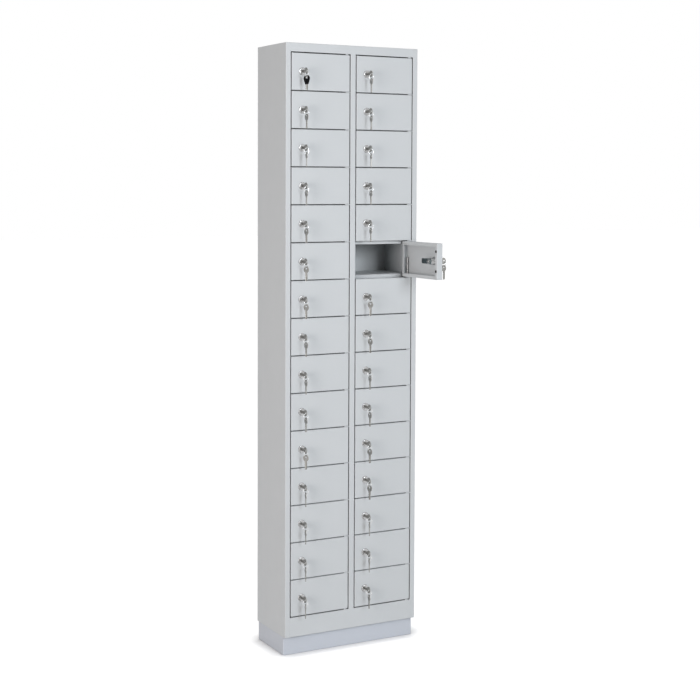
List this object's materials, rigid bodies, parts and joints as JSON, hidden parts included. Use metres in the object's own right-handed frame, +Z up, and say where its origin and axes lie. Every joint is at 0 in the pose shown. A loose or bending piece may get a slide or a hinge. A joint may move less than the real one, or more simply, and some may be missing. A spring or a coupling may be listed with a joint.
{
  "type": "phone locker cabinet",
  "caption": "Tall shallow steel locker cabinet with columns of small inset doors, each with a keyed cam lock and pin hinges, on a recessed plinth.",
  "frame": {"origin": "middle of the footprint, on the floor under the plinth", "axes": "+X to the right seen from the front, +Y into the cabinet, +Z up"},
  "size_m": [0.4754, 0.3809, 1.85],
  "materials": {
    "painted_steel": "satin light grey powder coat",
    "plinth_paint": "satin light grey powder coat",
    "zinc_plate": "bright zinc plate",
    "chrome_plate": "chrome plate",
    "key_nickel": "worn nickel plate",
    "black_rubber": "matte",
    "black_plastic": "satin moulded"
  },
  "bodies": {
    "carcass": {"left_side_panel": "painted_steel", "right_side_panel": "painted_steel", "left_stile": "painted_steel", "right_stile": "painted_steel", "back_panel": "painted_steel", "top_panel": "painted_steel", "bottom_panel": "painted_steel", "centre_partition": "painted_steel", "shelves_left": "painted_steel", "shelves_right": "painted_steel", "shelf_rails_left": "painted_steel", "shelf_rails_right": "painted_steel", "hinge_lugs_left": "painted_steel", "hinge_lugs_right": "painted_steel", "hinge_pins_left": "zinc_plate", "hinge_pins_right": "zinc_plate", "plinth_frame": "plinth_paint", "plinth_screws": "zinc_plate", "plinth_nuts": "zinc_plate"},
    "door_left_01": {"door_left_01": "painted_steel", "spare_key_cover": "black_plastic"},
    "door_left_02": {"door_left_02": "painted_steel"},
    "door_left_03": {"door_left_03": "painted_steel"},
    "door_left_04": {"door_left_04": "painted_steel"},
    "door_left_05": {"door_left_05": "painted_steel"},
    "door_left_06": {"door_left_06": "painted_steel"},
    "door_left_07": {"door_left_07": "painted_steel"},
    "door_left_08": {"door_left_08": "painted_steel"},
    "door_left_09": {"door_left_09": "painted_steel"},
    "door_left_10": {"door_left_10": "painted_steel"},
    "door_left_11": {"door_left_11": "painted_steel"},
    "door_left_12": {"door_left_12": "painted_steel"},
    "door_left_13": {"door_left_13": "painted_steel"},
    "door_left_14": {"door_left_14": "painted_steel"},
    "door_left_15": {"door_left_15": "painted_steel"},
    "door_right_01": {"door_right_01": "painted_steel"},
    "door_right_02": {"door_right_02": "painted_steel"},
    "door_right_03": {"door_right_03": "painted_steel"},
    "door_right_04": {"door_right_04": "painted_steel"},
    "door_right_05": {"door_right_05": "painted_steel"},
    "door_right_07": {"door_right_07": "painted_steel"},
    "door_right_08": {"door_right_08": "painted_steel"},
    "door_right_09": {"door_right_09": "painted_steel"},
    "door_right_10": {"door_right_10": "painted_steel"},
    "door_right_11": {"door_right_11": "painted_steel"},
    "door_right_12": {"door_right_12": "painted_steel"},
    "door_right_13": {"door_right_13": "painted_steel"},
    "door_right_14": {"door_right_14": "painted_steel"},
    "door_right_15": {"door_right_15": "painted_steel"},
    "open_door": {"open_door": "painted_steel", "open_lock_barrel": "chrome_plate", "open_lock_nut": "zinc_plate", "open_door_buffers": "black_rubber"},
    "open_lock": {"open_lock_plug": "chrome_plate", "open_lock_cam": "zinc_plate", "open_cam_nut": "zinc_plate", "open_key": "key_nickel"},
    "open_ring": {"open_key_ring": "zinc_plate"},
    "open_spare": {"open_spare_key": "key_nickel"}
  },
  "joints": [
    {"name": "door_left_01_hinge", "type": "hinge", "parent": "carcass", "child": "door_left_01", "pos_m": [-0.021, -0.094, 1.76525], "axis": [0, 0, 1], "range_deg": [0, 105]},
    {"name": "door_left_02_hinge", "type": "hinge", "parent": "carcass", "child": "door_left_02", "pos_m": [-0.021, -0.094, 1.65175], "axis": [0, 0, 1], "range_deg": [0, 105]},
    {"name": "door_left_03_hinge", "type": "hinge", "parent": "carcass", "child": "door_left_03", "pos_m": [-0.021, -0.094, 1.53825], "axis": [0, 0, 1], "range_deg": [0, 105]},
    {"name": "door_left_04_hinge", "type": "hinge", "parent": "carcass", "child": "door_left_04", "pos_m": [-0.021, -0.094, 1.42475], "axis": [0, 0, 1], "range_deg": [0, 105]},
    {"name": "door_left_05_hinge", "type": "hinge", "parent": "carcass", "child": "door_left_05", "pos_m": [-0.021, -0.094, 1.31125], "axis": [0, 0, 1], "range_deg": [0, 105]},
    {"name": "door_left_06_hinge", "type": "hinge", "parent": "carcass", "child": "door_left_06", "pos_m": [-0.021, -0.094, 1.19775], "axis": [0, 0, 1], "range_deg": [0, 105]},
    {"name": "door_left_07_hinge", "type": "hinge", "parent": "carcass", "child": "door_left_07", "pos_m": [-0.021, -0.094, 1.08425], "axis": [0, 0, 1], "range_deg": [0, 105]},
    {"name": "door_left_08_hinge", "type": "hinge", "parent": "carcass", "child": "door_left_08", "pos_m": [-0.021, -0.094, 0.97075], "axis": [0, 0, 1], "range_deg": [0, 105]},
    {"name": "door_left_09_hinge", "type": "hinge", "parent": "carcass", "child": "door_left_09", "pos_m": [-0.021, -0.094, 0.85725], "axis": [0, 0, 1], "range_deg": [0, 105]},
    {"name": "door_left_10_hinge", "type": "hinge", "parent": "carcass", "child": "door_left_10", "pos_m": [-0.021, -0.094, 0.74375], "axis": [0, 0, 1], "range_deg": [0, 105]},
    {"name": "door_left_11_hinge", "type": "hinge", "parent": "carcass", "child": "door_left_11", "pos_m": [-0.021, -0.094, 0.63025], "axis": [0, 0, 1], "range_deg": [0, 105]},
    {"name": "door_left_12_hinge", "type": "hinge", "parent": "carcass", "child": "door_left_12", "pos_m": [-0.021, -0.094, 0.51675], "axis": [0, 0, 1], "range_deg": [0, 105]},
    {"name": "door_left_13_hinge", "type": "hinge", "parent": "carcass", "child": "door_left_13", "pos_m": [-0.021, -0.094, 0.40325], "axis": [0, 0, 1], "range_deg": [0, 105]},
    {"name": "door_left_14_hinge", "type": "hinge", "parent": "carcass", "child": "door_left_14", "pos_m": [-0.021, -0.094, 0.28975], "axis": [0, 0, 1], "range_deg": [0, 105]},
    {"name": "door_left_15_hinge", "type": "hinge", "parent": "carcass", "child": "door_left_15", "pos_m": [-0.021, -0.094, 0.17625], "axis": [0, 0, 1], "range_deg": [0, 105]},
    {"name": "door_right_01_hinge", "type": "hinge", "parent": "carcass", "child": "door_right_01", "pos_m": [0.1985, -0.094, 1.76525], "axis": [0, 0, 1], "range_deg": [0, 105]},
    {"name": "door_right_02_hinge", "type": "hinge", "parent": "carcass", "child": "door_right_02", "pos_m": [0.1985, -0.094, 1.65175], "axis": [0, 0, 1], "range_deg": [0, 105]},
    {"name": "door_right_03_hinge", "type": "hinge", "parent": "carcass", "child": "door_right_03", "pos_m": [0.1985, -0.094, 1.53825], "axis": [0, 0, 1], "range_deg": [0, 105]},
    {"name": "door_right_04_hinge", "type": "hinge", "parent": "carcass", "child": "door_right_04", "pos_m": [0.1985, -0.094, 1.42475], "axis": [0, 0, 1], "range_deg": [0, 105]},
    {"name": "door_right_05_hinge", "type": "hinge", "parent": "carcass", "child": "door_right_05", "pos_m": [0.1985, -0.094, 1.31125], "axis": [0, 0, 1], "range_deg": [0, 105]},
    {"name": "door_right_07_hinge", "type": "hinge", "parent": "carcass", "child": "door_right_07", "pos_m": [0.1985, -0.094, 1.08425], "axis": [0, 0, 1], "range_deg": [0, 105]},
    {"name": "door_right_08_hinge", "type": "hinge", "parent": "carcass", "child": "door_right_08", "pos_m": [0.1985, -0.094, 0.97075], "axis": [0, 0, 1], "range_deg": [0, 105]},
    {"name": "door_right_09_hinge", "type": "hinge", "parent": "carcass", "child": "door_right_09", "pos_m": [0.1985, -0.094, 0.85725], "axis": [0, 0, 1], "range_deg": [0, 105]},
    {"name": "door_right_10_hinge", "type": "hinge", "parent": "carcass", "child": "door_right_10", "pos_m": [0.1985, -0.094, 0.74375], "axis": [0, 0, 1], "range_deg": [0, 105]},
    {"name": "door_right_11_hinge", "type": "hinge", "parent": "carcass", "child": "door_right_11", "pos_m": [0.1985, -0.094, 0.63025], "axis": [0, 0, 1], "range_deg": [0, 105]},
    {"name": "door_right_12_hinge", "type": "hinge", "parent": "carcass", "child": "door_right_12", "pos_m": [0.1985, -0.094, 0.51675], "axis": [0, 0, 1], "range_deg": [0, 105]},
    {"name": "door_right_13_hinge", "type": "hinge", "parent": "carcass", "child": "door_right_13", "pos_m": [0.1985, -0.094, 0.40325], "axis": [0, 0, 1], "range_deg": [0, 105]},
    {"name": "door_right_14_hinge", "type": "hinge", "parent": "carcass", "child": "door_right_14", "pos_m": [0.1985, -0.094, 0.28975], "axis": [0, 0, 1], "range_deg": [0, 105]},
    {"name": "door_right_15_hinge", "type": "hinge", "parent": "carcass", "child": "door_right_15", "pos_m": [0.1985, -0.094, 0.17625], "axis": [0, 0, 1], "range_deg": [0, 105]},
    {"name": "open_door_hinge", "type": "hinge", "parent": "carcass", "child": "open_door", "pos_m": [0.1985, -0.094, 1.19775], "axis": [0, 0, 1], "range_deg": [-92, 13]},
    {"name": "open_lock_turn", "type": "hinge", "parent": "open_door", "child": "open_lock", "pos_m": [0.20978, -0.2452, 1.19775], "axis": [-0.9994, -0.0349, 0], "range_deg": [0, 180]},
    {"name": "open_ring_swing", "type": "hinge", "parent": "open_lock", "child": "open_ring", "pos_m": [0.23877, -0.24419, 1.19775], "axis": [0.0349, -0.9994, 0], "range_deg": [-8, 180]},
    {"name": "open_spare_swing", "type": "hinge", "parent": "open_ring", "child": "open_spare", "pos_m": [0.23877, -0.24419, 1.18065], "axis": [0.3746, -0.9272, 0], "range_deg": [-8, 20]}
  ]
}
